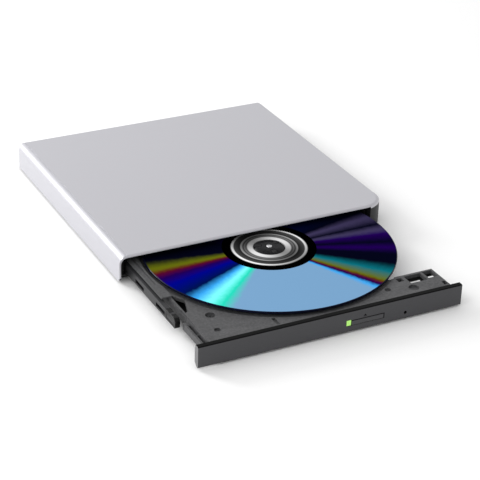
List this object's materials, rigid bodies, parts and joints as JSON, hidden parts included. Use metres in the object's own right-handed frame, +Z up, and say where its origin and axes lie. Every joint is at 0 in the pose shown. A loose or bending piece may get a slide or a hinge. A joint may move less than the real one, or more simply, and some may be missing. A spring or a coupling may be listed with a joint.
{
  "type": "external optical drive",
  "caption": "Slim external optical drive with a tray part way out on sliding rails and a disc on its spindle; eject button, status light and rear mini USB socket.",
  "frame": {"origin": "on the table, under the middle of the housing", "axes": "+X to the user's right, -Y the front where the tray comes out, +Z up"},
  "size_m": [0.144, 0.2186, 0.014],
  "materials": {
    "cover_silver": "fine matte silver paint",
    "case_black": "fine texture",
    "foot_rubber": "matt",
    "sheet_steel": "plated",
    "black_plastic": "moulded",
    "bright_steel": "polished",
    "screw_steel": "black plated",
    "flex_amber": "polyimide film",
    "board_green": "solder mask",
    "chip_black": "moulded",
    "rail_grey": "satin",
    "tray_grey": "fine spark-eroded texture",
    "bezel_grey": "satin",
    "button_grey": "satin",
    "light_green": "diffusing",
    "switch_white": "moulded",
    "coil_copper": "enamelled wire",
    "deck_metal": "satin",
    "screw_brass": "machined",
    "lens_glass": "coated",
    "hub_grey": "satin",
    "disc_dye": "mirror layer under clear polycarbonate"
  },
  "bodies": {
    "housing": {"top_cover": "cover_silver", "bottom_case": "case_black", "rubber_foot": "foot_rubber", "case_screws": "screw_steel", "drive_frame": "sheet_steel", "drive_lid": "sheet_steel", "left_guide": "black_plastic", "right_guide": "black_plastic", "latch_post": "bright_steel", "flex_cable": "flex_amber", "bridge_board": "board_green", "bridge_chips": "chip_black", "usb_socket": "bright_steel", "usb_tongue": "black_plastic", "drive_connector": "black_plastic"},
    "tray_assembly": {"tray": "tray_grey", "bezel": "bezel_grey", "tray_pan": "sheet_steel", "pan_screws": "screw_steel", "status_light": "light_green", "front_board": "board_green", "eject_switch": "switch_white", "tray_board": "board_green", "tray_chips": "chip_black", "solenoid": "coil_copper", "latch_pivot": "bright_steel", "deck_frame": "deck_metal", "deck_dampers": "foot_rubber", "main_rod": "bright_steel", "side_rod": "bright_steel", "sled_motor": "deck_metal", "spindle_motor": "deck_metal"},
    "left_rail_body": {"left_rail": "rail_grey", "left_rail_stop": "black_plastic"},
    "right_rail_body": {"right_rail": "rail_grey", "right_rail_stop": "black_plastic"},
    "spindle": {"turntable": "hub_grey", "hub_pad": "foot_rubber", "hub": "hub_grey", "hub_claws": "hub_grey", "hub_cap": "bright_steel", "disc": "disc_dye"},
    "pickup": {"pickup_sled": "deck_metal", "pickup_lens": "lens_glass"},
    "screw": {"lead_screw": "screw_brass"},
    "button": {"eject_button": "button_grey"},
    "latch": {"latch_lever": "black_plastic"}
  },
  "joints": [
    {"name": "tray_slide", "type": "slide", "parent": "housing", "child": "tray_assembly", "axis": [0, -1, 0], "range_m": [-0.081, 0.05]},
    {"name": "left_rail_slide", "type": "slide", "parent": "housing", "child": "left_rail_body", "axis": [0, -1, 0], "range_m": [-0.0551, 0.0341]},
    {"name": "right_rail_slide", "type": "slide", "parent": "housing", "child": "right_rail_body", "axis": [0, -1, 0], "range_m": [-0.0551, 0.0341]},
    {"name": "spindle_spin", "type": "hinge", "parent": "tray_assembly", "child": "spindle", "pos_m": [-0.001, -0.08025, 0.0085], "axis": [0, 0, 1], "continuous": true},
    {"name": "pickup_slide", "type": "slide", "parent": "tray_assembly", "child": "pickup", "axis": [-0.6428, -0.766, 0], "range_m": [-0.008, 0.022]},
    {"name": "screw_turn", "type": "hinge", "parent": "tray_assembly", "child": "screw", "pos_m": [-0.04004, -0.09971, 0.00485], "axis": [-0.6428, -0.766, 0], "range_deg": [-1441, 3961]},
    {"name": "button_press", "type": "slide", "parent": "tray_assembly", "child": "button", "axis": [0, 1, 0], "range_m": [0, 0.0006], "stiffness_N_per_m": 800, "springref_m": -0.0002},
    {"name": "latch_turn", "type": "hinge", "parent": "tray_assembly", "child": "latch", "pos_m": [0.034, -0.12875, 0.004], "axis": [0, 0, 1], "range_deg": [0, 18], "stiffness_Nm_per_rad": 0.002, "springref_deg": -11.46}
  ],
  "couplings": [
    {"joint": "left_rail_slide", "follows": "tray_slide", "ratio": 0.68},
    {"joint": "right_rail_slide", "follows": "tray_slide", "ratio": 0.68},
    {"joint": "screw_turn", "follows": "pickup_slide", "rad_per_m": 3141.6}
  ]
}
